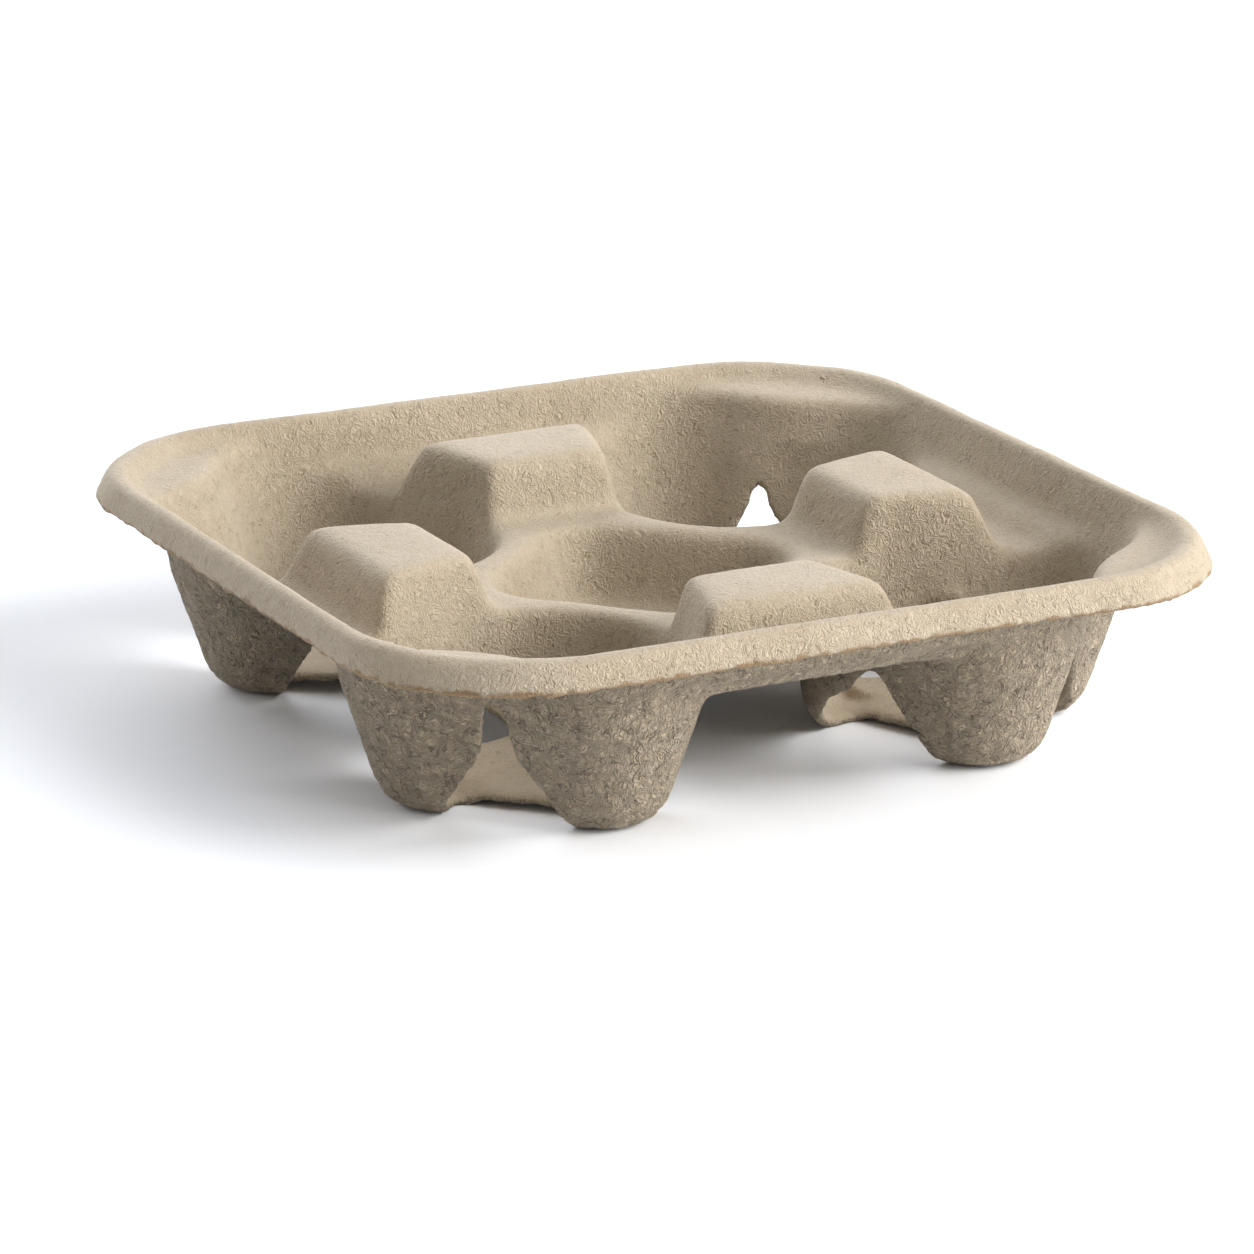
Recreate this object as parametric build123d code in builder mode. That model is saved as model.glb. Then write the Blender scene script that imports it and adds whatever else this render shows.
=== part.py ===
"""Four-cup carrier tray moulded from paper pulp, as one sheet of even thickness.

Millimetres, +Z up. The origin is the middle of the tray, on the surface that its feet stand on.
The sheet is what lies between two skins. Each skin is drawn by the same functions, once as the
upper side and once grown by the sheet's thickness as the under side.
"""

from build123d import *
import math
import os

# Sheet
wall = 2.1
ledge_step = 0.5

# Rim: its crest, and the flange that turns outward and down from it
tray_half = 105.0
tray_corner_r = 40.0
flange_z = 39.3
flange_draft = 15.0
tray_height = 46.8
crest_corner_r = 43.4
crest_inner_corner_r = 39.7
shelf_corner_r = 45.0
crest_round = 2.3

# Levels of the upper skin
shelf_z = 42.8
ledge_z = 34.8
deck_z = 30.8
floor_z = 4.0

# Cup pockets: a round cone with two cones that lean out to the tray's sides
pocket_pitch = 93.8
cup_r = 29.2
cup_draft = 9.8
lobe_offset = 26.0
lobe_r = 20.6
lobe_draft = 18.2
corner_ridge_r = 45.0
lobe_wrap = 20.0
cheek_sink = 0.1

# Deck between the pockets
deck_half = 88.0
riser_draft = 35.0

# Well in the tray's middle, a square with round corners that point at the blocks
hub_ridge = 7.5
hub_corner_r = 14.3
hub_draft = 14.0
hub_floor_z = 12.0
hub_floor_r = 5.0
hub_rim_r = 3.0

# Raised blocks, one in the middle of each side
block_z = 44.6
block_inner = 49.8
block_outer = 74.3
block_draft = 18.0
block_span = 34.0
block_round = 4.0

# Feet and the raised floor between them
plate_r = 18.0
plate_shift = 3.5
plate_draft = 30.0
foot_bevel = 2.1

# Slots through a pocket's wall, each from its top down through the floor between two feet.
# A corner slot is a keyhole between the outward feet. The front one is torn further up.
corner_slot_top = 22.5
front_slot_top = 30.5
corner_slot_neck = 3.6
corner_slot_shoulder = 7.0
corner_slot_shoulder_z = 18.0
corner_slot_mouth = 31.0
corner_slot_start = 20.5

# A side slot is a lopsided arch from the inner foot to an outward foot.
side_slot_turn = 67.5
side_slot_top = 21.0
side_slot_peak = 8.0
side_slot_neck = 3.8
side_slot_inner = 12.8
side_slot_outer = 21.5
side_slot_knee = 8.0
side_slot_knee_z = 7.3
side_slot_hip_z = 13.8
side_slot_start = 9.5
slot_end = 50.0

above = 6.0
nearly = 0.05
pocket_at = pocket_pitch / 2
lobe_rise = math.tan(math.radians(lobe_draft))
cup_rise = math.tan(math.radians(cup_draft))
riser_rise = math.tan(math.radians(riser_draft))
hub_rise = math.tan(math.radians(hub_draft))
block_rise = math.tan(math.radians(block_draft))
flange_rise = math.tan(math.radians(flange_draft))
lobe_wall = wall / math.cos(math.radians(lobe_draft))
flange_wall = wall / math.cos(math.radians(flange_draft))
block_wall = wall / math.cos(math.radians(block_draft))
foot_slant = (90 + lobe_draft) / 2
foot_turn = math.radians(90 - lobe_draft)
under_bevel = foot_bevel + wall * (math.tan(foot_turn / 2) - math.tan(foot_turn / 4)) * math.sin(foot_turn)


def cup_radius(z, grow):
    """Radius of the round part of a pocket at height z."""
    return cup_r + (z - deck_z) * cup_rise + grow


def lobe_radius(z, grow):
    """Radius of the two outward parts of a pocket at height z."""
    return lobe_r + (z - deck_z) * lobe_rise + grow


def on_circle(centre, radius, degrees):
    """Point of a circle at an angle from +X."""
    turn = math.radians(degrees)
    return (centre[0] + radius * math.cos(turn), centre[1] + radius * math.sin(turn))


def arc_points(centre, radius, start, end):
    """Start, middle and end of an arc between two angles."""
    return [on_circle(centre, radius, a) for a in (start, (start + end) / 2, end)]


def corner_arcs(z, grow, start, end):
    """The lobe, ridge and lobe arcs of one pocket's outer corner, from angle start to angle end."""
    radius = lobe_radius(z, grow)
    apart = lobe_r + corner_ridge_r
    ridge_at = (lobe_offset + math.sqrt(2 * apart**2 - lobe_offset**2)) / 2
    lean = math.degrees(math.atan2(ridge_at, ridge_at - lobe_offset))
    return [
        arc_points((lobe_offset, 0), radius, start, lean),
        arc_points((ridge_at, ridge_at), apart - radius, 180 + lean, 270 - lean),
        arc_points((0, lobe_offset), radius, 90 - lean, end),
    ]


def corner_outline(z, grow):
    """Draws the two lobes and the ridge of a pocket at height z, closed by tangents that meet inside it."""
    arcs = corner_arcs(z, grow, -90 - lobe_wrap, 180 + lobe_wrap)
    wrap = math.radians(lobe_wrap)
    inner = (lobe_radius(z, grow) - lobe_offset * math.sin(wrap)) / (math.sin(wrap) + math.cos(wrap))
    with BuildSketch(Plane.XY.offset(z)) as outline:
        with BuildLine():
            Line((-inner, -inner), arcs[0][0])
            for arc in arcs:
                ThreePointArc(*arc)
            Line(arcs[2][2], (-inner, -inner))
        make_face()
    return outline.sketch


def cup_outline(z, grow):
    """Draws the round part of a pocket at height z."""
    with BuildSketch(Plane.XY.offset(z)) as outline:
        Circle(cup_radius(z, grow))
    return outline.sketch


def cheek_outline(z, grow):
    """Draws what lies inside the line between a pocket's round part and its first lobe at height z."""
    round_r = cup_radius(z, grow) - cheek_sink
    side_r = lobe_radius(z, grow) - cheek_sink
    angle = math.degrees(math.asin((round_r - side_r) / lobe_offset)) - 90
    with BuildSketch(Plane.XY.offset(z)) as outline:
        with BuildLine():
            Polyline(
                (0, 0),
                on_circle((0, 0), round_r, angle),
                on_circle((lobe_offset, 0), side_r, angle),
                (lobe_offset, 0),
                close=True,
            )
        make_face()
    return outline.sketch


def turned(point, quarter):
    """A point turned by quarter turns about the tray's middle."""
    x, y = point
    for _ in range(quarter):
        x, y = -y, x
    return (x, y)


def tub_outline(z, grow):
    """Draws the section of the tray's side walls at height z, from pocket to pocket."""
    arcs = corner_arcs(z, grow, 0, 90)
    moved = [[(x + pocket_at, y + pocket_at) for x, y in arc] for arc in arcs]
    with BuildSketch(Plane.XY.offset(z)) as outline:
        with BuildLine():
            for quarter in range(4):
                for arc in moved:
                    ThreePointArc(*[turned(p, quarter) for p in arc])
                Line(turned(moved[2][2], quarter), turned(moved[0][0], quarter + 1))
        make_face()
    return outline.sketch


def side_half(z, grow):
    """Distance of a side wall from the tray's middle at height z."""
    return pocket_at + lobe_offset + lobe_radius(z, grow + ledge_step)


def flange_half(z, grow):
    """Distance of the flange's outer face from the tray's middle at height z."""
    return tray_half - (z - flange_z) * flange_rise + grow


def between(z, low, high, at_low, at_high):
    """A size that changes evenly from level low to level high."""
    return at_low + (z - low) / (high - low) * (at_high - at_low)


def rounded_square(z, half, radius):
    """Draws a square with round corners at height z."""
    with BuildSketch(Plane.XY.offset(z)) as outline:
        RectangleRounded(2 * half, 2 * half, radius)
    return outline.sketch


def hub_form(low, high, grow):
    """The middle well from its floor up, with a flat side towards each pocket."""
    inward = (deck_z - low) * hub_rise - grow
    half = pocket_at * math.sqrt(2) - cup_r - hub_ridge - inward
    with BuildPart() as form:
        with BuildSketch(Plane.XY.offset(low)):
            RectangleRounded(2 * half, 2 * half, hub_corner_r - inward)
        extrude(amount=high - low, taper=-hub_draft)
        fillet(form.faces().sort_by(Axis.Z)[0].edges(), hub_floor_r + grow)
    return form.part.rotate(Axis.Z, 45)


def plate_form(low, high, grow):
    """The raised floor between a pocket's feet."""
    rise = math.tan(math.radians(plate_draft))
    with BuildPart() as form:
        with BuildSketch(Plane.XY.offset(low)):
            with Locations((plate_shift, plate_shift)):
                Circle(plate_r + (high - low) * rise + grow)
        extrude(amount=high - low, taper=plate_draft)
    return form.part


def flared_form(outline, low, high, grow, draft, bevel):
    """An outline drawn up with its draft from the top of the feet's bevel, and down along the bevel."""
    level = low + bevel
    with BuildPart() as form:
        extrude(outline(level, grow), amount=high - level, taper=-draft)
        extrude(outline(level, grow), amount=bevel, dir=(0, 0, -1), taper=foot_slant)
    return form.part


def cheek_form(low, high, grow, bevel):
    """The wall between a pocket's round part and its first lobe, which turns as it rises."""
    level = low + bevel
    inset = bevel * math.tan(math.radians(foot_slant))
    foot = cheek_outline(level, grow - inset).moved(Location((0, 0, -bevel)))
    with BuildPart() as form:
        loft([foot, cheek_outline(level, grow), cheek_outline(high, grow)], ruled=True)
    return form.part


def pocket_form(low, high, grow, bevel):
    """One pocket from its feet's level up, on its own centre."""
    cheek = cheek_form(low, high, grow, bevel)
    with BuildPart() as form:
        add(flared_form(cup_outline, low, high, grow, cup_draft, bevel))
        add(flared_form(corner_outline, low, high, grow, lobe_draft, bevel))
        add(cheek)
        add(cheek.mirror(Plane.XZ).rotate(Axis.Z, 90))
    return form.part


def tub_form(low, high, grow):
    """The space inside the side walls."""
    with BuildPart() as form:
        add(tub_outline(low, grow))
        extrude(amount=high - low, taper=-lobe_draft)
    return form.part


def deck_form(low, high, grow):
    """The space above the deck, up past the riser: two crossed bars whose ends run into the pockets."""
    with BuildPart() as form:
        with BuildSketch(Plane.XY.offset(low)):
            half = deck_half + (low - deck_z) * riser_rise + grow
            Rectangle(2 * half, pocket_pitch)
            Rectangle(pocket_pitch, 2 * half)
        extrude(amount=high - low, taper=-riser_draft)
    return form.part


def shelf_form(low, high, grow):
    """The space inside the crest, above the corner shelves."""
    sections = []
    for z in (low, high):
        corner = between(z, shelf_z, tray_height, shelf_corner_r, crest_inner_corner_r)
        sections.append(rounded_square(z, side_half(z, grow), corner))
    with BuildPart() as form:
        loft(sections, ruled=True)
    return form.part


def flange_form(low, high, grow):
    """The body inside the flange's outer face."""
    sections = []
    for z in (low, high):
        corner = between(z, flange_z, tray_height, tray_corner_r, crest_corner_r)
        sections.append(rounded_square(z, flange_half(z, grow), corner + grow))
    with BuildPart() as form:
        loft(sections, ruled=True)
    return form.part


def block_form(low, shrink, rounding):
    """One raised block on the +X side, as a bar that the pockets are cut from."""
    inner = block_inner + shrink
    outer = block_outer - shrink
    top = block_z if shrink == 0 else block_z - wall
    shift = (block_z - top) * block_rise
    drop = (top - low) * block_rise
    with BuildPart() as form:
        with BuildSketch(Plane.XZ):
            with BuildLine():
                Polyline(
                    (inner - shift - drop, low),
                    (outer + shift + drop, low),
                    (outer + shift, top),
                    (inner - shift, top),
                    close=True,
                )
            make_face()
        extrude(amount=block_span, both=True)
        fillet(form.faces().sort_by(Axis.Z)[-1].edges().filter_by(Axis.Y), rounding)
    return form.part


def corner_slot_form(top):
    """Cutter for the slot between two outward feet, from a pocket's middle out along +X."""
    neck = corner_slot_neck / 2
    shoulder = corner_slot_shoulder / 2
    mouth = corner_slot_mouth / 2
    with BuildPart() as form:
        with BuildSketch(Plane.YZ.offset(corner_slot_start)):
            with BuildLine():
                Line((0, -above), (0, top))
                CenterArc((0, top - neck), neck, 0, 90)
                Line((neck, top - neck), (shoulder, corner_slot_shoulder_z))
                Line((shoulder, corner_slot_shoulder_z), (mouth, 0))
                Line((mouth, 0), (mouth, -above))
                Line((mouth, -above), (0, -above))
            make_face()
            mirror(about=Plane.YZ)
        extrude(amount=slot_end)
    return form.part


def side_slot_form():
    """Cutter for the arch from the inner foot (at -Y) to an outward foot (at +Y), along +X."""
    neck = side_slot_neck / 2
    round_z = side_slot_top - neck
    left = side_slot_peak - neck
    right = side_slot_peak + neck
    with BuildPart() as form:
        with BuildSketch(Plane.YZ.offset(side_slot_start)):
            with BuildLine():
                Line((-side_slot_inner, -above), (-side_slot_inner, 0))
                Spline(
                    (-side_slot_inner, 0),
                    (-side_slot_knee, side_slot_knee_z),
                    (0, side_slot_hip_z),
                    (left, round_z),
                )
                CenterArc((side_slot_peak, round_z), neck, 0, 180)
                Line((right, round_z), (side_slot_outer, 0))
                Line((side_slot_outer, 0), (side_slot_outer, -above))
                Line((side_slot_outer, -above), (-side_slot_inner, -above))
            make_face()
        extrude(amount=slot_end)
    return form.part


def slots_form(corner_top):
    """Cutter for the three slots of one pocket."""
    corner_slot = corner_slot_form(corner_top)
    side_slot = side_slot_form()
    with BuildPart() as form:
        with Locations(Location((0, 0, 0), (0, 0, 45))):
            add(corner_slot)
        with Locations(Location((0, 0, 0), (0, 0, 225 + side_slot_turn))):
            add(side_slot)
        with Locations(Location((0, 0, 0), (0, 0, 225 - side_slot_turn))):
            add(side_slot.mirror(Plane.XZ))
    return form.part


def on_hub_rim(edge):
    """True for an edge between the deck and the well in its middle."""
    x, y, z = edge.position_at(0.5)
    return abs(z - deck_z) < nearly and math.hypot(x, y) < pocket_at - hub_ridge


pocket_air = pocket_form(wall, tray_height + above, 0, foot_bevel)
pocket_skin = pocket_form(0, shelf_z, lobe_wall, under_bevel)
pocket_skin_high = pocket_form(0, tray_height + above, lobe_wall, under_bevel)
plate_top = plate_form(0, floor_z, 0)
plate_under = plate_form(-above, floor_z - wall, -wall)
hub_air = hub_form(hub_floor_z, deck_z + wall, 0)
hub_skin = hub_form(hub_floor_z - wall, deck_z, wall)
block_top = block_form(deck_z - above, 0, block_round)
block_hollow = block_form(deck_z - 2 * above, block_wall, block_round - wall)
plain_slots = slots_form(corner_slot_top)
front_slots = slots_form(front_slot_top)
pocket_places = [
    Location((*turned((pocket_at, pocket_at), quarter), 0), (0, 0, 90 * quarter))
    for quarter in range(4)
]
front_place = pocket_places[2]

with BuildPart() as cup_side:
    add(deck_form(deck_z, shelf_z, 0))
    add(tub_form(ledge_z, shelf_z + 1, ledge_step))
    add(shelf_form(shelf_z, tray_height + above, 0))
    with PolarLocations(0, 4):
        add(block_top, mode=Mode.SUBTRACT)
    add(hub_air)
    fillet(cup_side.edges().filter_by(on_hub_rim), hub_rim_r)
    with Locations(*pocket_places):
        add(pocket_air)
    with Locations(*pocket_places):
        add(plate_top, mode=Mode.SUBTRACT)

with BuildPart() as hollows:
    with PolarLocations(0, 4):
        add(block_hollow)
    add(hub_skin, mode=Mode.SUBTRACT)
    with Locations(*pocket_places):
        add(pocket_skin_high, mode=Mode.SUBTRACT)

with BuildPart() as carrier_tray:
    add(flange_form(flange_z, tray_height, 0))
    fillet(carrier_tray.faces().sort_by(Axis.Z)[-1].edges(), crest_round)
    add(flange_form(flange_z - 1, tray_height - wall, -flange_wall), mode=Mode.SUBTRACT)
    add(shelf_form(shelf_z - wall, tray_height - wall / 2, lobe_wall))
    add(tub_form(ledge_z - wall, shelf_z, ledge_step + lobe_wall))
    add(deck_form(deck_z - wall, ledge_z, wall))
    add(hub_skin)
    with Locations(*pocket_places):
        add(pocket_skin)
    with Locations(*pocket_places):
        add(plate_under, mode=Mode.SUBTRACT)
    add(cup_side.part, mode=Mode.SUBTRACT)
    add(hollows.part, mode=Mode.SUBTRACT)
    with Locations(*pocket_places):
        add(plain_slots, mode=Mode.SUBTRACT)
    with Locations(front_place):
        add(front_slots, mode=Mode.SUBTRACT)

os.makedirs("parts", exist_ok=True)
carrier_tray.part.label = "carrier_tray"
export_step(carrier_tray.part, "parts/carrier_tray.step")
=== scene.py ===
import math

import bpy
import numpy as np
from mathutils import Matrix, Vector
from mathutils.bvhtree import BVHTree


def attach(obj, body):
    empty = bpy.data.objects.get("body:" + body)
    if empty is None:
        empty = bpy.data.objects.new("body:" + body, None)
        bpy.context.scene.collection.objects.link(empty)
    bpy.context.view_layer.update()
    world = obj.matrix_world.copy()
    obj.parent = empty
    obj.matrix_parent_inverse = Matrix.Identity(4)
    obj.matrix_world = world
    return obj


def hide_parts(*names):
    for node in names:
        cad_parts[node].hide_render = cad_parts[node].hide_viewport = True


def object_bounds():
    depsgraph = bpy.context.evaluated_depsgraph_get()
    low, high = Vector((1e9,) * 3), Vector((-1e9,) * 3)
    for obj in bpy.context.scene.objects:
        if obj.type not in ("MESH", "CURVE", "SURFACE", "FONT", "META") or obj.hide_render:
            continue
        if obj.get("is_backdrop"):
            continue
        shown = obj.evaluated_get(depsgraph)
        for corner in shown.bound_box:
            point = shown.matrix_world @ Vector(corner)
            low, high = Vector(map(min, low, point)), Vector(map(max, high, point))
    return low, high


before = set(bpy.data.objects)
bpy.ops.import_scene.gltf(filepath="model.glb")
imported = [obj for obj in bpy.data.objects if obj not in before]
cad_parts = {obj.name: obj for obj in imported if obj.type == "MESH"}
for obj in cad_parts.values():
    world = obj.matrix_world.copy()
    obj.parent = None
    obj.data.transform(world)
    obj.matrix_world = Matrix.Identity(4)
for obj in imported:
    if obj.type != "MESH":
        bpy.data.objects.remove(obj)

# Lengths in this script are millimetres, and they turn into metres where meshes are made.
MM = 0.001
TINY = 1e-9
NODE = "carrier_tray"
CAD_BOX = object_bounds()

# The sheet: its thickness, the voxels that its mesh is made from, how often it is smoothed, its triangles,
# and how far its points stay inside the CAD box
WALL = 2.1
WELD_GAP = 0.002
SKIN_VOXEL = 0.85
SHEET_VOXEL = 0.8
SKIN_ROUNDS = 26
SHEET_ROUNDS = 5
TRIANGLES = 196000
BOX_MARGIN = 0.02

# The cup side: the least upward part of its faces' normals, and where their rays start above them
LEAST_UP = 0.1
RAY_LIFT = 0.3

# The rim's crest, which is spared a share of the smoothing. Here and below, a reach is the larger of |x|
# and |y|, and a pair of values says where something starts and where it is full
CREST_HEIGHTS = (43.5, 45.5)
CREST_REACHES = (90, 97)
CREST_SPARED = 0.8

# Pockets: how far their middles lie from the tray's, the height of their floor, and the webs that fill
# the foot of the slots facing front and back, as corners outward from the pocket's middle
POCKET_AT = 46.9
POCKET_FLOOR = 4.3
WEB = ((23, -1), (25, -8), (17, -14.5), (7, -18), (-3, -21.5), (-9, -22), (-9, -14), (-5, -10), (12, -3))
WEB_RISE = 1.0
WEB_RISE_FROM = (9, 18)

# The back right corner's slot sits to one side: by how many degrees, how much narrower it is, its half
# width in degrees, and the angles, heights and distances from the pocket's middle over which this fades
BACK_SLOT_TURN = 5.0
BACK_SLOT_SQUEEZE = 0.25
BACK_SLOT_HALF = 12
BACK_SLOT_ANGLES = (7, 26)
BACK_SLOT_HEIGHTS = (27, 34)
BACK_SLOT_DISTANCES = (18, 24)

# A stretch of wall that closes the peak of the right pocket's slot: its middle, half width and heights
PEAK_FILL = (16.8, -21.8)
PEAK_FILL_HALF = 5.0
PEAK_FILL_HEIGHTS = (18.6, 22.6)

# Noises: their height, the width of their lumps and their seed, and for some the share of their height
# that is cut off from below
NOISE_GAIN = 1.6
WAVES = (0.22, 24.0, 11)
RIPPLES = (0.1, 9.0, 12)
COARSE_FIBRES = (0.2, 4.6, 13)
FINE_FIBRES = (0.17, 2.3, 17)
FLANGE_WANDER = (0.5, 4.0, 23)
SLOT_FRAY = (0.35, 1.9, 31)
SLOT_NOTCHES = (0.9, 4.5, 32)
SLOT_NOTCHES_ABOVE = 0.25
FLANGE_FRAY = (0.4, 2.4, 41)
FLANGE_DROPS = (1.5, 5.5, 42)
FLANGE_DROPS_ABOVE = 0.35

# Crinkles: how sharp their crests are, and how far and over what width their lines wander
CREST_SLOPE = 2.2
CRINKLE_BEND = 0.9
CRINKLE_BEND_SIZE = 2.2

# Open edges of the skin below this height belong to slots
SLOTS_BELOW = 37

# The flange: its lower edge, the reaches where it starts, the step below it and the lip along it
FLANGE_EDGE = 39.0
FLANGE_REACHES = (80, 86)
STEP_DEPTH = 1.1
STEP_STARTS = (0.2, 1.0)
STEP_ENDS = (3, 13)
LIP_HEIGHT = 0.6
LIP_ABOVE_EDGE = 0.6
LIP_WIDTH = 1.2
LIP_FACING = (0.1, 0.5)

# The frayed band of the flange: its reaches, its top, how far that fades, and its foot
DECKLE_REACHES = (92, 97)
DECKLE_TOP = 42.5
DECKLE_TOP_FADE = 3
DECKLE_FOOT = (36, 38.5)

# The rough under side: where it ends above the flange's edge, how far it fades there, and the upward parts
# of the normals between which it and the steep walls fade. Then how rough level ground is, and how much
# steep walls and the under side add
ROUGH_ABOVE_EDGE = 0.6
ROUGH_FADE = 0.8
ROUGH_TILTS = (-0.15, 0.1)
STEEP_TILTS = (0.25, 0.9)
ROUGH_LEVEL = 0.16
ROUGH_STEEP = 0.24
ROUGH_UNDER = 0.75

# Thin creases of the legs: their depth, the size of the folds, how much of a fold is crease, how far below
# the flange they begin, and the patches that they keep to
CREASE_DEPTH = 0.55
CREASE_SIZE = (9.0, 9.0, 16.0)
CREASE_SHARE = 0.05
CREASE_SEED = 21
CREASE_FADE = 12
CREASE_PATCHES = (-0.15, 0.25)
CREASE_PATCH_SIZE = 12
CREASE_PATCH_SEED = 22

# The material's fibres: the turns of their direction in radians, lines per millimetre, width and stretch
FIBRE_SETS = (
    ((0.3, 0.9, 0.2), 0.85, 0.11, (1.0, 0.55, 0.8)),
    ((1.2, 0.1, 1.4), 0.95, 0.10, (0.6, 1.0, 0.7)),
    ((0.7, 2.0, 0.6), 1.6, 0.10, (0.8, 0.7, 1.0)),
)

# How far the material's patterns are bent, and the stretch that makes strokes run upright
SWIRL = 5.0
UPRIGHT_STRETCH = (0.8, 0.8, 0.34)

# The material's noises, in lumps per millimetre
SWIRL_SCALE = 0.32
LUMP_SCALE = 0.42
GRAIN_SCALE = 3.2
STROKE_SCALE = 1.0
CUT_SCALE = 0.62
CUT_PATCH_SCALE = 0.36
TONE_SCALE = 0.035
MOTTLE_SCALE = 0.3
SPECK_SCALE = 0.17
SPECK_PATCH_SCALE = 0.21
LINE_WANDER_SCALE = 0.3

# How high the material's bumps stand, on the smoothest and the roughest ground where two values are given,
# and how strongly they show there
FIBRE_RISE = 0.42
LUMP_RISE = 1.1
GRAIN_RISE = 0.3
STROKE_RISE = (0.5, 2.4)
CUT_RISE = -1.1
BUMP_DISTANCE = 1.0
BUMP_STRENGTH = (0.26, 1.0)

# How strongly the colours below show, on the smoothest and the roughest ground where two values are given
# The leg beige shows most on the rough under side and legs: partly that side's own colour, partly painted
# warm shade
LEG_AND_SHADE_SHARE = (0.0, 0.7)
MOTTLE_SHARE = 0.22
FIBRE_SHARE = 0.3
# Painted shade in the hollows of the bumps, stronger on rough ground
PIT_SHADE_SHARE = (0.15, 0.36)
# Painted shade in the cut strokes, the bumps' thin dents
CUT_SHADE_SHARE = (0.1, 0.5)
# The edge line is partly the edge's own tan and partly a painted shadow under the flange's edge
EDGE_TAN_AND_SHADOW_SHARE = 0.9
SPECK_SHARE = 0.75

# Colours, as linear red, green, blue and alpha
DARK_BEIGE = (0.375, 0.30, 0.207, 1)
PALE_BEIGE = (0.42, 0.345, 0.247, 1)
# Warmer, darker beige for the under side and legs, partly its own colour and partly painted warm shade
LEG_BEIGE_AND_SHADE = (0.42, 0.325, 0.205, 1)
MOTTLE_PALE = (0.51, 0.435, 0.325, 1)
FIBRE_PALE = (0.54, 0.46, 0.345, 1)
# Painted shade for the hollows of the bumps
PIT_SHADE_BROWN = (0.22, 0.165, 0.105, 1)
# Painted shade for the cut strokes
CUT_SHADE_BROWN = (0.17, 0.12, 0.07, 1)
# Partly the edge's own tan, partly a painted shadow under the flange's edge
EDGE_TAN_AND_SHADOW = (0.235, 0.145, 0.06, 1)
SPECK_BROWN = (0.14, 0.095, 0.06, 1)
FLOOR_WHITE = (0.93, 0.94, 0.96, 1)

# The tan line along the flange's edge, partly the edge's own tan and partly a painted shadow where the
# flange
# turns under: its height, how far it wanders, the distances from its middle where it starts and is full,
# and its reaches
LINE_HEIGHT = 39.7
LINE_WANDER = 3.0
LINE_HALF = (1.3, 0.6)
LINE_REACHES = (82.0, 88.0)

# Camera, from the photograph: direction, distance and the point that it looks at
CAMERA_TURN = 26.83
CAMERA_RISE = 17.25
CAMERA_DISTANCE = 1386.2
CAMERA_TARGET = (-3.29, 1.66, 16.04)
LENS = 174.34
SENSOR = 36.0
CLIP_START = 50.0
CLIP_END = 50000.0

# Studio: the floor's half width, the lights' distance, size and the height that they aim at, and how bright
# the room is
FLOOR_HALF = 9000.0
LAMP_DISTANCE = 1500.0
LAMP_SIZE = 1400.0
LAMP_AIM = 20.0
ROOM = 0.23


def hashed_gradients(cell, seed):
    """One unit gradient for each lattice point, from a seeded mix of its three indices."""
    mixed = cell[:, 0] * 73856093 ^ cell[:, 1] * 19349663 ^ cell[:, 2] * 83492791 ^ seed * 2654435761
    mixed = (mixed ^ (mixed >> 13)) * 1274126177
    mixed = mixed ^ (mixed >> 16)
    turn = (mixed & 0xFFFF) / 65536.0 * 2 * math.pi
    height = ((mixed >> 16) & 0xFFFF) / 65536.0 * 2 - 1
    flat = np.sqrt(np.maximum(1 - height * height, 0))
    return np.stack([flat * np.cos(turn), flat * np.sin(turn), height], axis=1)


def gradient_noise(points, seed):
    """Smooth noise of about -1 to 1 whose lumps are one unit wide."""
    base = np.floor(points).astype(np.int64)
    inside = points - base
    ease = inside * inside * inside * (inside * (inside * 6 - 15) + 10)
    total = np.zeros(len(points))
    for corner in np.ndindex(2, 2, 2):
        step = np.array(corner)
        weight = np.prod(np.where(step == 1, ease, 1 - ease), axis=1)
        pull = hashed_gradients(base + step, seed)
        total += weight * np.einsum("ij,ij->i", pull, inside - step)
    return total * NOISE_GAIN


def lumps(points, noise):
    """One of the noises that are named above."""
    height, size, seed = noise
    return height * gradient_noise(points / size, seed)


def lumps_above(points, noise, share):
    """The tops of one of the noises that are named above."""
    height, size, seed = noise
    return height * np.maximum(gradient_noise(points / size, seed) - share, 0)


def crinkles(points, noise):
    """Ridges of one of the noises above, full on their crests, that wander like pressed fibres."""
    height, size, seed = noise
    wide = points / (CRINKLE_BEND_SIZE * size)
    bend = np.stack([gradient_noise(wide, seed + k) for k in (1, 2, 3)], axis=1)
    ridges = 1 - CREST_SLOPE * np.abs(gradient_noise(points / size + CRINKLE_BEND * bend, seed))
    return ridges * height


def smooth_step(values, low, high):
    """0 below low, 1 above high, with an even passage between."""
    t = np.clip((values - low) / (high - low), 0, 1)
    return t * t * (3 - 2 * t)


def reach_of(co):
    """How far out points lie, as the larger of |x| and |y|."""
    return np.abs(co[:, :2]).max(axis=1)


def mesh_arrays(mesh):
    """Vertices in millimetres and faces of one size as arrays."""
    co = np.empty(len(mesh.vertices) * 3)
    mesh.vertices.foreach_get("co", co)
    loops = np.empty(len(mesh.loops), np.int64)
    mesh.loops.foreach_get("vertex_index", loops)
    sides = len(mesh.loops) // len(mesh.polygons)
    return co.reshape(-1, 3) / MM, loops.reshape(-1, sides)


def mesh_from(name, co, faces):
    """A mesh in metres from arrays in millimetres."""
    mesh = bpy.data.meshes.new(name)
    mesh.from_pydata((co * MM).tolist(), [], faces.tolist())
    mesh.update()
    return mesh


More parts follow.
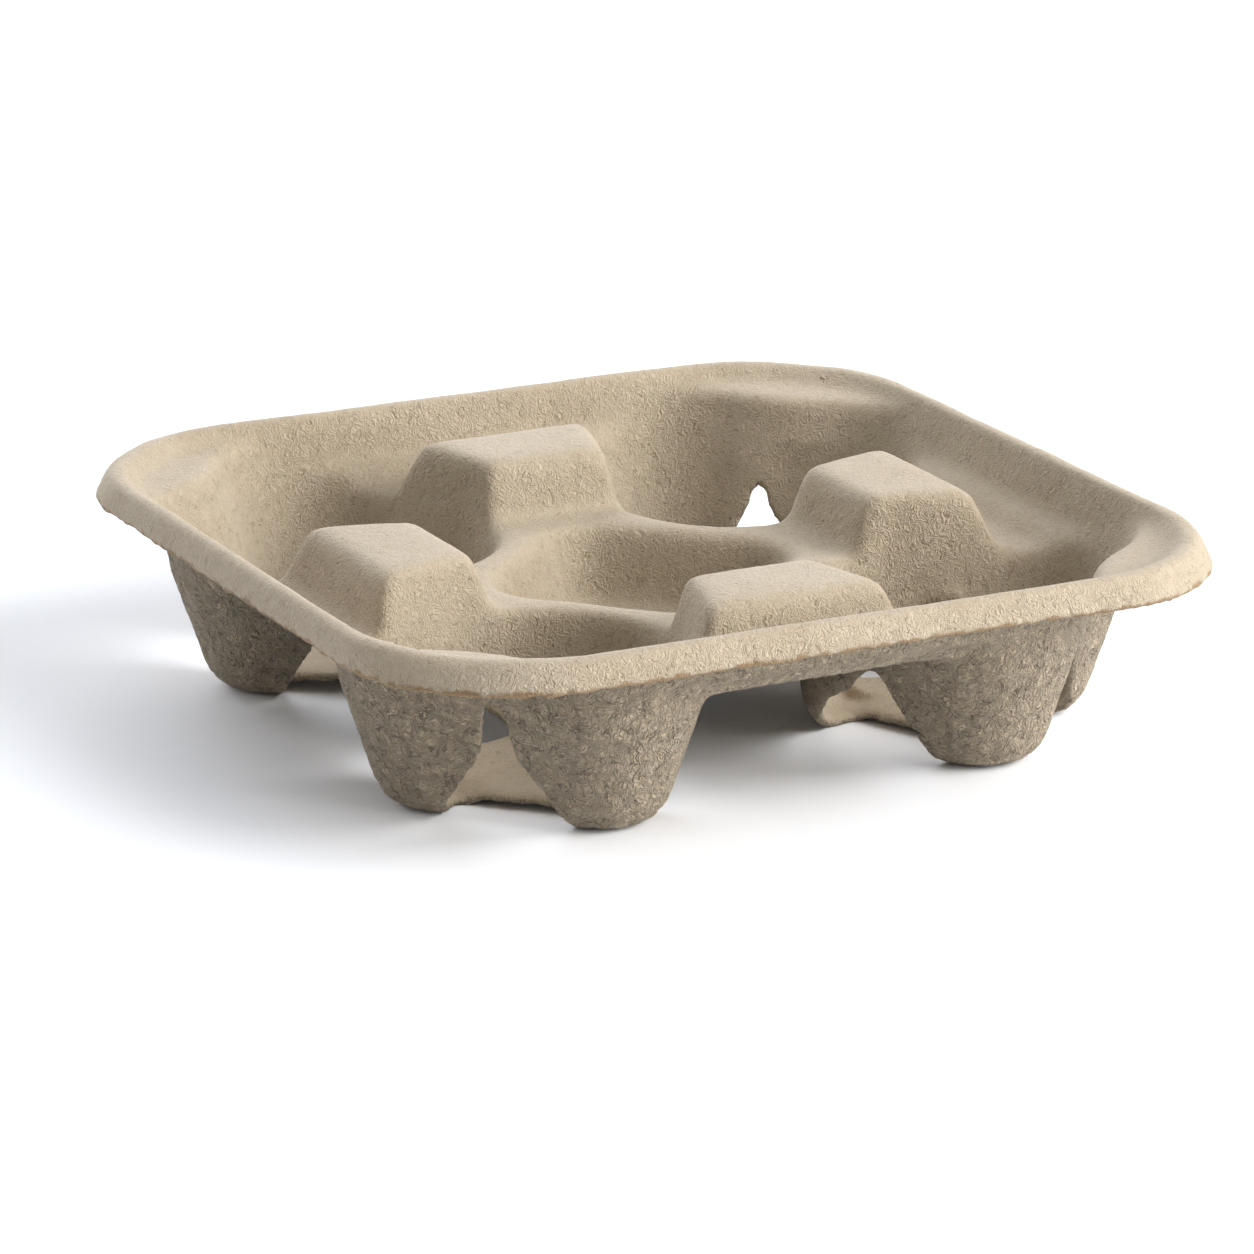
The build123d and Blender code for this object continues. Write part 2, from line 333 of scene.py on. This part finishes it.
def with_modifier(mesh, kind, **settings):
    """The mesh after one modifier, as a new mesh."""
    holder = bpy.data.objects.new("holder", mesh)
    bpy.context.scene.collection.objects.link(holder)
    modifier = holder.modifiers.new("step", kind)
    for name, value in settings.items():
        setattr(modifier, name, value)
    graph = bpy.context.evaluated_depsgraph_get()
    result = bpy.data.meshes.new_from_object(holder.evaluated_get(graph))
    bpy.data.objects.remove(holder)
    return result


def welded(mesh):
    """The mesh with the vertices of neighbouring CAD faces joined."""
    return with_modifier(mesh.copy(), "WELD", merge_threshold=WELD_GAP * MM)


def voxel_mesh(mesh, voxel):
    """A closed mesh of even quads round the same solid."""
    return with_modifier(mesh, "REMESH", mode="VOXEL", voxel_size=voxel * MM)


def unit(vectors):
    """The vectors at a length of one."""
    return vectors / np.maximum(np.linalg.norm(vectors, axis=1, keepdims=True), TINY)


def face_spans(co, faces):
    """Vectors along the normals of triangles or quads, as long as twice their area."""
    return np.cross(co[faces[:, 2]] - co[faces[:, 0]], co[faces[:, -1]] - co[faces[:, 1]])


def vertex_normals(co, faces):
    """Unit normals of the vertices, weighted by the area of the faces round them."""
    spans = face_spans(co, faces)
    total = np.zeros_like(co)
    for side in range(faces.shape[1]):
        for axis in range(3):
            total[:, axis] += np.bincount(faces[:, side], spans[:, axis], len(co))
    return unit(total)


def edge_list(faces):
    """Each edge once, its number of faces, and its direction in the first of them."""
    starts = faces.ravel()
    ends = np.roll(faces, -1, axis=1).ravel()
    low = np.minimum(starts, ends)
    high = np.maximum(starts, ends)
    keys = low * (faces.max() + 1) + high
    _, first, counts = np.unique(keys, return_index=True, return_counts=True)
    return starts[first], ends[first], counts


def neighbour_mean(co, a, b):
    """Mean of each vertex's neighbours along the edges a to b."""
    count = np.bincount(a, minlength=len(co)) + np.bincount(b, minlength=len(co))
    mean = np.empty_like(co)
    for axis in range(3):
        column = co[:, axis]
        mean[:, axis] = np.bincount(a, column[b], len(co)) + np.bincount(b, column[a], len(co))
    return mean / np.maximum(count, 1)[:, None]


def smoothed(co, faces, rounds, amount=0.5, share=None):
    """Pulls vertices towards their neighbours. An open edge is smoothed along itself alone."""
    a, b, counts = edge_list(faces)
    rim = counts == 1
    on_rim = np.zeros(len(co), bool)
    on_rim[a[rim]] = True
    on_rim[b[rim]] = True
    weight = np.full(len(co), amount) if share is None else amount * share
    for _ in range(rounds):
        target = neighbour_mean(co, a, b)
        if rim.any():
            along = neighbour_mean(co, a[rim], b[rim])
            target[on_rim] = along[on_rim]
        co = co + weight[:, None] * (target - co)
    return co


def compacted(co, faces):
    """The same faces without the vertices that none of them uses."""
    used, renumbered = np.unique(faces, return_inverse=True)
    return co[used], renumbered.reshape(faces.shape)


def largest_part(co, faces):
    """The biggest connected group of faces."""
    label = np.arange(len(co))
    while True:
        lowest = label[faces].min(axis=1)
        grown = label.copy()
        for side in range(faces.shape[1]):
            np.minimum.at(grown, faces[:, side], lowest)
        grown = grown[grown]
        if np.array_equal(grown, label):
            break
        label = grown
    names, counts = np.unique(label[faces[:, 0]], return_counts=True)
    return compacted(co, faces[label[faces[:, 0]] == names[counts.argmax()]])


def cup_side_skin():
    """The skin that faces up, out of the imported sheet, as an open mesh of small quads."""
    co, faces = mesh_arrays(voxel_mesh(welded(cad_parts[NODE].data), SKIN_VOXEL))
    tree = BVHTree.FromPolygons(co.tolist(), faces.tolist())
    normals = unit(face_spans(co, faces))
    starts = co[faces].mean(axis=1) + RAY_LIFT * normals
    seen = normals[:, 2] > LEAST_UP
    up = Vector((0, 0, 1))
    for index in np.flatnonzero(seen):
        if tree.ray_cast(Vector(starts[index]), up)[0] is not None:
            seen[index] = False
    return largest_part(co, faces[seen])


def torn_edges(co, faces):
    """Frays the open edges of the slots, in the plane of the sheet."""
    a, b, counts = edge_list(faces)
    rim = counts == 1
    inner = neighbour_mean(co, a[~rim], b[~rim])
    edge = np.zeros(len(co), bool)
    edge[a[rim]] = True
    edge[b[rim]] = True
    edge &= co[:, 2] < SLOTS_BELOW
    push = lumps(co, SLOT_FRAY) + lumps_above(co, SLOT_NOTCHES, SLOT_NOTCHES_ABOVE)
    shift = unit(co - inner) * push[:, None]
    co = co.copy()
    co[edge] += shift[edge]
    return co


def thickened(co, faces):
    """Closes the skin into a sheet by adding an under skin and the edges between them."""
    normals = vertex_normals(co, faces)
    under = co - WALL * normals
    starts, ends, counts = edge_list(faces)
    rim = counts == 1
    a = starts[rim]
    b = ends[rim]
    count = len(co)
    sides = np.stack([b, a, a + count, b + count], axis=1)
    return np.vstack([co, under]), np.vstack([faces, faces[:, ::-1] + count, sides])


def with_plate(co, faces, outline, top, bottom, across, along):
    """The sheet and a plate between two heights.

    The outline is given outward from a pocket's middle, and across and along are the signs of that pocket.
    """
    outline = np.array(outline, float)
    count = len(outline)
    x = across * (POCKET_AT + outline[:, 0])
    y = along * (POCKET_AT + outline[:, 1])
    flat = np.zeros(count)
    upper = np.stack([x, y, flat + top], axis=1)
    lower = np.stack([x, y, flat + bottom], axis=1)
    ring = np.arange(count)
    after = (ring + 1) % count
    walls = np.stack([ring, after, after + count, ring + count], axis=1)
    fan = np.array([[0, k, k + 1, k + 1] for k in range(1, count - 1)])
    quads = np.vstack([fan[:, ::-1], fan + count, walls])
    if across * along > 0:
        quads = quads[:, ::-1]
    return np.vstack([co, upper, lower]), np.vstack([faces, quads + len(co)])


def with_webs(co, faces):
    """The sheet with a thin web across the foot of each slot that faces front or back."""
    rise = WEB_RISE * smooth_step(-np.array(WEB, float)[:, 1], *WEB_RISE_FROM)
    top = POCKET_FLOOR + rise
    for across in (-1, 1):
        for along in (-1, 1):
            co, faces = with_plate(co, faces, WEB, top, top - WALL, across, along)
    return co, faces


def with_closed_peak(co, faces):
    """The sheet with a stretch of wall over the peak of the right pocket's slot."""
    middle = np.array(PEAK_FILL)
    out = middle / np.linalg.norm(middle)
    half = PEAK_FILL_HALF * np.array([-out[1], out[0]])
    through = WALL * out
    outline = [middle - half, middle + half, middle + half + through, middle - half + through]
    low, high = PEAK_FILL_HEIGHTS
    return with_plate(co, faces, outline, high, low, 1, -1)


def turned_slot(co):
    """Turns the back right corner's slot about its pocket's middle, and narrows it."""
    x = co[:, 0] - POCKET_AT
    y = co[:, 1] - POCKET_AT
    angle = np.degrees(np.arctan2(y, x)) - 45
    near = 1 - smooth_step(np.abs(angle), *BACK_SLOT_ANGLES)
    near *= 1 - smooth_step(co[:, 2], *BACK_SLOT_HEIGHTS)
    near *= smooth_step(np.hypot(x, y), *BACK_SLOT_DISTANCES)
    squeeze = BACK_SLOT_SQUEEZE * np.clip(angle, -BACK_SLOT_HALF, BACK_SLOT_HALF)
    turn = np.radians(near * (BACK_SLOT_TURN - squeeze))
    co = co.copy()
    co[:, 0] = POCKET_AT + x * np.cos(turn) - y * np.sin(turn)
    co[:, 1] = POCKET_AT + x * np.sin(turn) + y * np.cos(turn)
    return co


def under_side(co, normals):
    """1 on the sheet's under side and legs, 0 on the cup side and the flange."""
    faces_down = 1 - smooth_step(normals[:, 2], *ROUGH_TILTS)
    return faces_down * smooth_step(FLANGE_EDGE + ROUGH_ABOVE_EDGE - co[:, 2], 0, ROUGH_FADE)


def roughness(normals, under):
    """How rough the sheet is: a little on level ground, more on walls and most on the under side."""
    steep = 1 - smooth_step(np.abs(normals[:, 2]), *STEEP_TILTS)
    return np.clip(ROUGH_LEVEL + ROUGH_STEEP * steep + ROUGH_UNDER * under, 0, 1)


def outward_facing(co, normals):
    """1 where the sheet faces away from the tray's middle, -1 where it faces the middle."""
    return np.einsum("ij,ij->i", normals[:, :2], unit(co[:, :2]))


def fibre_relief(co):
    """How far the pressed fibres stand out on the roughest ground."""
    return crinkles(co, COARSE_FIBRES) + crinkles(co, FINE_FIBRES)


def crease_depth(co, under):
    """How deep the thin creases of the legs are."""
    fold = gradient_noise(co / np.array(CREASE_SIZE), CREASE_SEED)
    crease = np.exp(-((fold / CREASE_SHARE) ** 2))
    legs = under * smooth_step(FLANGE_EDGE - co[:, 2], 0, CREASE_FADE)
    patches = smooth_step(gradient_noise(co / CREASE_PATCH_SIZE, CREASE_PATCH_SEED), *CREASE_PATCHES)
    return CREASE_DEPTH * crease * legs * patches


def relief(co, normals):
    """How far each point of the sheet stands out, how rough it is there, and how far it faces outward."""
    under = under_side(co, normals)
    rough = roughness(normals, under)
    outer = outward_facing(co, normals)
    on_floor = co * np.array([1.0, 1.0, 0.0])
    below = FLANGE_EDGE + lumps(on_floor, FLANGE_WANDER) - co[:, 2]
    at_flange = smooth_step(reach_of(co), *FLANGE_REACHES)
    step = under * at_flange * smooth_step(below, *STEP_STARTS) * (1 - smooth_step(below, *STEP_ENDS))
    lip = np.exp(-((below + LIP_ABOVE_EDGE) / LIP_WIDTH) ** 2)
    lip *= smooth_step(outer, *LIP_FACING) * at_flange
    depth = crease_depth(co, under) + STEP_DEPTH * step - LIP_HEIGHT * lip
    waves = lumps(co, WAVES) + lumps(co, RIPPLES)
    return waves + rough * fibre_relief(co) - depth, rough, outer


def deckled(co):
    """Lowers and frays the flange's lower edge."""
    near = smooth_step(reach_of(co), *DECKLE_REACHES)
    near *= smooth_step(DECKLE_TOP - co[:, 2], 0, DECKLE_TOP_FADE)
    near *= smooth_step(co[:, 2], *DECKLE_FOOT)
    fray = lumps(co, FLANGE_FRAY) + lumps_above(co, FLANGE_DROPS, FLANGE_DROPS_ABOVE)
    co = co.copy()
    co[:, 2] -= near * fray
    return co


def plain_sheet():
    """The tray as a closed and smooth sheet with torn slots, as arrays."""
    co, faces = cup_side_skin()
    crest = smooth_step(co[:, 2], *CREST_HEIGHTS) * smooth_step(reach_of(co), *CREST_REACHES)
    co = smoothed(co, faces, SKIN_ROUNDS, share=1 - CREST_SPARED * crest)
    co = torn_edges(turned_slot(co), faces)
    co, faces = thickened(co, faces)
    co, faces = with_webs(co, faces)
    co, faces = with_closed_peak(co, faces)
    co, faces = mesh_arrays(voxel_mesh(mesh_from("sheet", co, faces), SHEET_VOXEL))
    return smoothed(co, faces, SHEET_ROUNDS), faces


def pulp_sheet():
    """The tray as one sheet of pulp, which stands for the CAD node."""
    co, faces = plain_sheet()
    normals = vertex_normals(co, faces)
    height, rough, outer = relief(co, normals)
    co = deckled(co + height[:, None] * normals)
    low, high = [np.array(corner) / MM for corner in CAD_BOX]
    co = np.clip(co, low + BOX_MARGIN, high - BOX_MARGIN)
    mesh = mesh_from("fine_sheet", co, faces)
    for name, values in (("rough", rough), ("outer", outer)):
        mesh.attributes.new(name, "FLOAT", "POINT").data.foreach_set("value", values.astype(np.float32))
    mesh = with_modifier(mesh, "DECIMATE", ratio=TRIANGLES / (2 * len(faces)))
    mesh.name = "pulp_sheet"
    mesh.polygons.foreach_set("use_smooth", [True] * len(mesh.polygons))
    piece = bpy.data.objects.new("pulp_sheet", mesh)
    bpy.context.scene.collection.objects.link(piece)
    return piece


class Nodes:
    """Adds nodes to a material and links what is passed to them."""

    def __init__(self, material):
        material.use_nodes = True
        self.tree = material.node_tree
        self.tree.nodes.clear()

    def add(self, kind, settings=None, **inputs):
        """A new node. Inputs are given by name, with _ for a space, or as i0, i1 by place."""
        node = self.tree.nodes.new(kind)
        for name, value in (settings or {}).items():
            setattr(node, name, value)
        for name, value in inputs.items():
            place = int(name[1:]) if name[0] == "i" and name[1:].isdigit() else name.replace("_", " ")
            if isinstance(value, bpy.types.NodeSocket):
                self.tree.links.new(value, node.inputs[place])
            else:
                node.inputs[place].default_value = value
        return node

    def math(self, operation, *values):
        """One calculation on numbers."""
        inputs = {f"i{k}": value for k, value in enumerate(values)}
        return self.add("ShaderNodeMath", {"operation": operation}, **inputs).outputs[0]

    def vector(self, operation, *values):
        """One calculation on vectors."""
        inputs = {f"i{k}": value for k, value in enumerate(values)}
        return self.add("ShaderNodeVectorMath", {"operation": operation}, **inputs).outputs[0]

    def noise(self, place, scale, detail=0.0, rough=0.5, colour=False):
        """A noise texture whose lumps are 1 / scale millimetres wide."""
        inputs = {"Vector": place, "Scale": scale, "Detail": detail, "Roughness": rough}
        node = self.add("ShaderNodeTexNoise", None, **inputs)
        return node.outputs["Color" if colour else "Fac"]

    def ramp(self, value, low, high, out_low=0.0, out_high=1.0):
        """Carries a number from one range to another and stops at its ends."""
        node = self.add("ShaderNodeMapRange", None, i0=value, i1=low, i2=high, i3=out_low, i4=out_high)
        return node.outputs[0]

    def mix(self, share, first, second):
        """A colour between two others."""
        return self.add("ShaderNodeMix", {"data_type": "RGBA"}, i0=share, i6=first, i7=second).outputs[2]

    def off_middle(self, value):
        """How far a noise is from its middle value."""
        return self.math("ABSOLUTE", self.math("SUBTRACT", value, 0.5))


def fibre_lines(nodes, place, turn, scale, width, stretch):
    """Thin wandering lines, 1 along their middle, that run mostly one way."""
    turned = nodes.add("ShaderNodeMapping", None, Vector=place, Rotation=turn, Scale=stretch).outputs[0]
    off = nodes.off_middle(nodes.noise(turned, scale, detail=1.0, rough=0.4))
    return nodes.ramp(off, width, 0.0)


def pulp_relief(nodes, place, bent, rough):
    """The height of the material's bumps, and the fibre lines and cut strokes that are part of it."""
    sets = [fibre_lines(nodes, bent, *fibres) for fibres in FIBRE_SETS]
    lines = nodes.math("ADD", nodes.math("ADD", sets[0], sets[1]), sets[2])
    lump = nodes.noise(bent, LUMP_SCALE, detail=4.0, rough=0.62)
    grain = nodes.noise(place, GRAIN_SCALE, detail=2.0, rough=0.6)
    upright = nodes.add("ShaderNodeMapping", None, Vector=bent, Scale=UPRIGHT_STRETCH).outputs[0]
    stroke = nodes.math("SUBTRACT", nodes.noise(upright, STROKE_SCALE, detail=1.5, rough=0.5), 0.5)
    off_cut = nodes.off_middle(nodes.noise(upright, CUT_SCALE, detail=1.0))
    patches = nodes.ramp(nodes.noise(place, CUT_PATCH_SCALE), 0.5, 0.57)
    cut = nodes.math("MULTIPLY", nodes.ramp(off_cut, 0.036, 0.01), patches)
    height = nodes.math("MULTIPLY_ADD", lines, FIBRE_RISE, nodes.math("MULTIPLY", lump, LUMP_RISE))
    height = nodes.math("MULTIPLY_ADD", grain, GRAIN_RISE, height)
    height = nodes.math("MULTIPLY_ADD", stroke, nodes.ramp(rough, 0.3, 0.9, *STROKE_RISE), height)
    return nodes.math("MULTIPLY_ADD", cut, CUT_RISE, height), lines, cut


def pulp_base_colour(nodes, place, bent, rough):
    """Warm grey beige that varies over the tray, with paler mottles. It is yellower and darker on the rough
    under side and legs, partly that side's own colour and partly painted warm shade.
    """
    tone = nodes.noise(place, TONE_SCALE, detail=2.0)
    colour = nodes.mix(nodes.ramp(tone, 0.35, 0.65), DARK_BEIGE, PALE_BEIGE)
    # Under side and legs: partly their own warmer colour, partly painted warm shade
    colour = nodes.mix(nodes.ramp(rough, 0.4, 1.0, *LEG_AND_SHADE_SHARE), colour, LEG_BEIGE_AND_SHADE)
    mottle = nodes.ramp(nodes.noise(bent, MOTTLE_SCALE, detail=5.0, rough=0.7), 0.35, 0.68)
    return nodes.mix(nodes.math("MULTIPLY", mottle, MOTTLE_SHARE), colour, MOTTLE_PALE)


def specks(nodes, place, bent):
    """1 in the middle of the dark specks."""
    cells = nodes.add("ShaderNodeTexVoronoi", None, Vector=bent, Scale=SPECK_SCALE)
    patches = nodes.ramp(nodes.noise(place, SPECK_PATCH_SCALE), 0.52, 0.56)
    return nodes.math("MULTIPLY", nodes.ramp(cells.outputs["Distance"], 0.075, 0.045), patches)


def tan_and_shadow_line(nodes, place):
    """1 along the middle of the flange's tan line, which is partly the edge's own tan and partly a painted
    shadow under the flange's edge.
    """
    x, y, z = nodes.add("ShaderNodeSeparateXYZ", None, i0=place).outputs
    drift = nodes.math("SUBTRACT", nodes.noise(place, LINE_WANDER_SCALE, detail=2.0), 0.5)
    level = nodes.math("ADD", z, nodes.math("MULTIPLY", drift, LINE_WANDER))
    off = nodes.math("ABSOLUTE", nodes.math("SUBTRACT", level, LINE_HEIGHT))
    reach = nodes.math("MAXIMUM", nodes.math("ABSOLUTE", x), nodes.math("ABSOLUTE", y))
    line = nodes.math("MULTIPLY", nodes.ramp(off, *LINE_HALF), nodes.ramp(reach, *LINE_REACHES))
    outer = nodes.add("ShaderNodeAttribute", {"attribute_name": "outer"}).outputs["Fac"]
    return nodes.math("MULTIPLY", line, nodes.ramp(outer, 0.1, 0.4))


def pulp_material():
    """Pressed paper pulp: warm grey beige, short tangled fibres, specks and a matt surface, with painted
    shade in the bumps' hollows and dents, on the legs and under the flange's edge.
    """
    material = bpy.data.materials.new("moulded_pulp")
    nodes = Nodes(material)
    raw = nodes.add("ShaderNodeTexCoord").outputs["Object"]
    place = nodes.vector("MULTIPLY", raw, (1 / MM, 1 / MM, 1 / MM))
    swirl = nodes.noise(place, SWIRL_SCALE, detail=1.0, colour=True)
    swirl = nodes.vector("SUBTRACT", swirl, (0.5, 0.5, 0.5))
    bent = nodes.vector("ADD", place, nodes.vector("MULTIPLY", swirl, (SWIRL, SWIRL, SWIRL)))
    rough = nodes.add("ShaderNodeAttribute", {"attribute_name": "rough"}).outputs["Fac"]

    height, lines, cut = pulp_relief(nodes, place, bent, rough)
    strength = nodes.ramp(rough, 0.1, 1.0, *BUMP_STRENGTH)
    bump = nodes.add("ShaderNodeBump", None, Strength=strength, Distance=BUMP_DISTANCE * MM, Height=height)

    colour = pulp_base_colour(nodes, place, bent, rough)
    fibre = nodes.math("MULTIPLY", nodes.ramp(lines, 0.5, 1.6), FIBRE_SHARE)
    colour = nodes.mix(fibre, colour, FIBRE_PALE)
    # Painted shade: the low points of the bumps are darkened
    pit_shade = nodes.math("MULTIPLY", nodes.ramp(height, 0.75, 0.5), nodes.ramp(rough, 0.2, 1.0, *PIT_SHADE_SHARE))
    colour = nodes.mix(pit_shade, colour, PIT_SHADE_BROWN)
    # Painted shade: the cut strokes, which are dents in the bumps, are darkened
    dark = nodes.math("MULTIPLY", cut, nodes.ramp(rough, 0.3, 0.9, *CUT_SHADE_SHARE))
    colour = nodes.mix(dark, colour, CUT_SHADE_BROWN)
    # Partly the edge's own tan, partly a painted shadow under the flange's edge
    tan = nodes.math("MULTIPLY", tan_and_shadow_line(nodes, place), EDGE_TAN_AND_SHADOW_SHARE)
    colour = nodes.mix(tan, colour, EDGE_TAN_AND_SHADOW)
    speck = nodes.math("MULTIPLY", specks(nodes, place, bent), SPECK_SHARE)
    colour = nodes.mix(speck, colour, SPECK_BROWN)

    shader = nodes.add("ShaderNodeBsdfPrincipled", None, Base_Color=colour, Normal=bump.outputs[0])
    shader.inputs["Roughness"].default_value = 0.8
    shader.inputs["Specular IOR Level"].default_value = 0.4
    shader.inputs["Sheen Weight"].default_value = 0.14
    shader.inputs["Sheen Roughness"].default_value = 0.45
    nodes.add("ShaderNodeOutputMaterial", None, Surface=shader.outputs[0])
    return material


def plain_material(name, colour, roughness):
    """One even colour, for the floor."""
    material = bpy.data.materials.new(name)
    nodes = Nodes(material)
    shader = nodes.add("ShaderNodeBsdfPrincipled", None, Base_Color=colour, Roughness=roughness)
    shader.inputs["Specular IOR Level"].default_value = 0.1
    nodes.add("ShaderNodeOutputMaterial", None, Surface=shader.outputs[0])
    return material


def floor():
    """A wide pale floor under the tray."""
    corners = FLOOR_HALF * np.array([[-1, -1, 0], [1, -1, 0], [1, 1, 0], [-1, 1, 0]])
    plane = bpy.data.objects.new("floor", mesh_from("floor", corners, np.array([[0, 1, 2, 3]])))
    plane.data.materials.append(plain_material("floor_white", FLOOR_WHITE, 0.9))
    bpy.context.scene.collection.objects.link(plane)
    plane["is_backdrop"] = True


def area_light(name, turn, rise, power, colour):
    """A soft square light that aims at the tray.

    Its turn goes counter-clockwise from the tray's right, and its rise is above the floor, in degrees.
    """
    data = bpy.data.lights.new(name, "AREA")
    data.shape = "SQUARE"
    data.size = LAMP_SIZE * MM
    data.energy = power
    data.color = colour
    lamp = bpy.data.objects.new(name, data)
    turn = math.radians(turn)
    rise = math.radians(rise)
    toward = Vector((math.cos(turn) * math.cos(rise), math.sin(turn) * math.cos(rise), math.sin(rise)))
    lamp.location = LAMP_DISTANCE * MM * toward
    aim = Vector((0, 0, LAMP_AIM * MM)) - lamp.location
    lamp.rotation_euler = aim.to_track_quat("-Z", "Y").to_euler()
    bpy.context.scene.collection.objects.link(lamp)


def lighting():
    """A key light low on the front right, two bluer ones behind, a weak one back left, and a dim room."""
    area_light("key", turn=-40, rise=27, power=50, colour=(1.0, 1.0, 1.0))
    area_light("back", turn=88, rise=22, power=23, colour=(0.96, 1.0, 1.08))
    area_light("back_high", turn=90, rise=48, power=5, colour=(0.98, 1.0, 1.04))
    area_light("left_back", turn=145, rise=22, power=7, colour=(1.0, 1.0, 1.0))
    world = bpy.data.worlds.new("room")
    world.use_nodes = True
    background = world.node_tree.nodes["Background"]
    background.inputs["Color"].default_value = (1, 1, 1, 1)
    background.inputs["Strength"].default_value = ROOM
    bpy.context.scene.world = world
    bpy.context.scene.view_settings.view_transform = "Standard"


def camera():
    """The photograph's viewing angle."""
    turn = math.radians(CAMERA_TURN)
    rise = math.radians(CAMERA_RISE)
    away = Vector((-math.sin(turn) * math.cos(rise), -math.cos(turn) * math.cos(rise), math.sin(rise)))
    data = bpy.data.cameras.new("camera")
    data.lens = LENS
    data.sensor_width = SENSOR
    data.clip_start = CLIP_START * MM
    data.clip_end = CLIP_END * MM
    eye = bpy.data.objects.new("camera", data)
    eye.location = (Vector(CAMERA_TARGET) + CAMERA_DISTANCE * away) * MM
    eye.rotation_euler = (-away).to_track_quat("-Z", "Y").to_euler()
    bpy.context.scene.collection.objects.link(eye)
    bpy.context.scene.camera = eye


camera()
lighting()
floor()
sheet = pulp_sheet()
sheet.data.materials.append(pulp_material())
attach(sheet, "root")
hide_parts(NODE)

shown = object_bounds()
print("triangles", sum(len(p.vertices) - 2 for p in sheet.data.polygons))
for name, corners in (("cad box", CAD_BOX), ("shown box", shown)):
    print(name, [[round(value, 4) for value in corner] for corner in corners])
